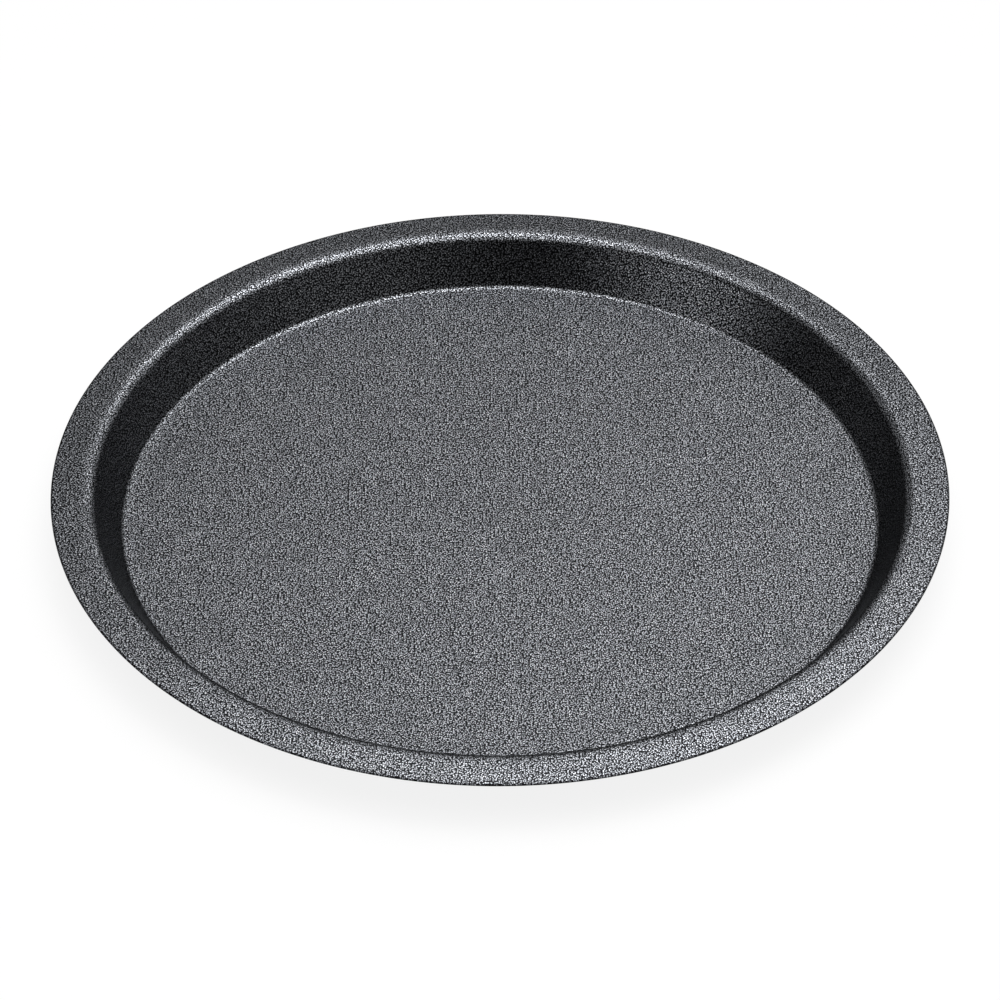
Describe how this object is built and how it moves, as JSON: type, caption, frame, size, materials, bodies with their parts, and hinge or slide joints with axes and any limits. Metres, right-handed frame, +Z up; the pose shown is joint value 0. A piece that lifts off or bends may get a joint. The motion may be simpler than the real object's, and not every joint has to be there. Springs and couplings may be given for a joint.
{
  "type": "pizza pan",
  "caption": "Round shallow pizza pan of drawn sheet steel with a sloping wall, a wide flat rim and a dark metallic-flake non-stick coating.",
  "frame": {"origin": "centre of the floor's underside, on the surface that the pan stands on", "axes": "+Z up, out of the open dish, along the pan's axis of revolution; +X and +Y lie in the resting plane and are interchangeable"},
  "size_m": [0.32, 0.32, 0.0177],
  "materials": {
    "sheet_steel": "cold-rolled, satin",
    "nonstick_inside": "metallic-flake non-stick, satin",
    "nonstick_outside": "metallic-flake non-stick, satin"
  },
  "bodies": {
    "root": {"steel_pan": "sheet_steel", "inside_coating": "nonstick_inside", "outside_coating": "nonstick_outside"}
  },
  "joints": []
}
